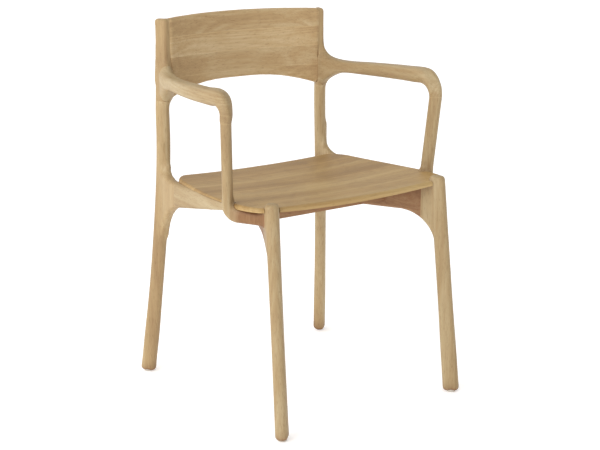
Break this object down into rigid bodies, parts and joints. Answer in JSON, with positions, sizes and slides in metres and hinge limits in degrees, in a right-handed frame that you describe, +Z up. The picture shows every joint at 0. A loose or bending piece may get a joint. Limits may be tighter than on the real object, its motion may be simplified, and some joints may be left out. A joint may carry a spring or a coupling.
{
  "type": "wooden armchair",
  "caption": "Solid oak armchair with a dished seat, a curved back panel and slim arms that turn down and under the seat.",
  "frame": {"origin": "on the floor, midway between the feet, at the centre of the chair's footprint", "axes": "+Z up; +Y from the seat's front to the back rest, so the sitter faces -Y; +X to the sitter's left"},
  "size_m": [0.55, 0.5189, 0.7745],
  "materials": {
    "oak_frame": "oiled, matt",
    "oak_seat": "oiled, matt",
    "oak_back": "oiled, matt",
    "dowel_beech": "raw",
    "screw_steel": "zinc plated",
    "glide_nylon": "matt"
  },
  "bodies": {
    "root": {"arm_front_dowels": "dowel_beech", "arm_left": "oak_frame", "arm_post_left": "oak_frame", "arm_post_right": "oak_frame", "arm_rear_dowels": "dowel_beech", "arm_right": "oak_frame", "back_panel_dowels": "dowel_beech", "back_post_left": "oak_frame", "back_post_right": "oak_frame", "back_stave_1": "oak_back", "back_stave_2": "oak_back", "back_stave_3": "oak_back", "back_stave_4": "oak_back", "bracket_dowels": "dowel_beech", "cross_rail_dowels": "dowel_beech", "foot_glides": "glide_nylon", "front_cross_rail": "oak_frame", "front_leg_left": "oak_frame", "front_leg_right": "oak_frame", "knuckle_dowels": "dowel_beech", "rear_cross_rail": "oak_frame", "rear_leg_left": "oak_frame", "rear_leg_right": "oak_frame", "seat_screws": "screw_steel", "seat_stave_1": "oak_seat", "seat_stave_2": "oak_seat", "seat_stave_3": "oak_seat", "seat_stave_4": "oak_seat", "seat_stave_5": "oak_seat", "seat_stave_6": "oak_seat", "seat_strut_left": "oak_frame", "seat_strut_right": "oak_frame", "side_rail_dowels": "dowel_beech", "side_rail_left": "oak_frame", "side_rail_right": "oak_frame", "strut_dowels": "dowel_beech"}
  },
  "joints": []
}
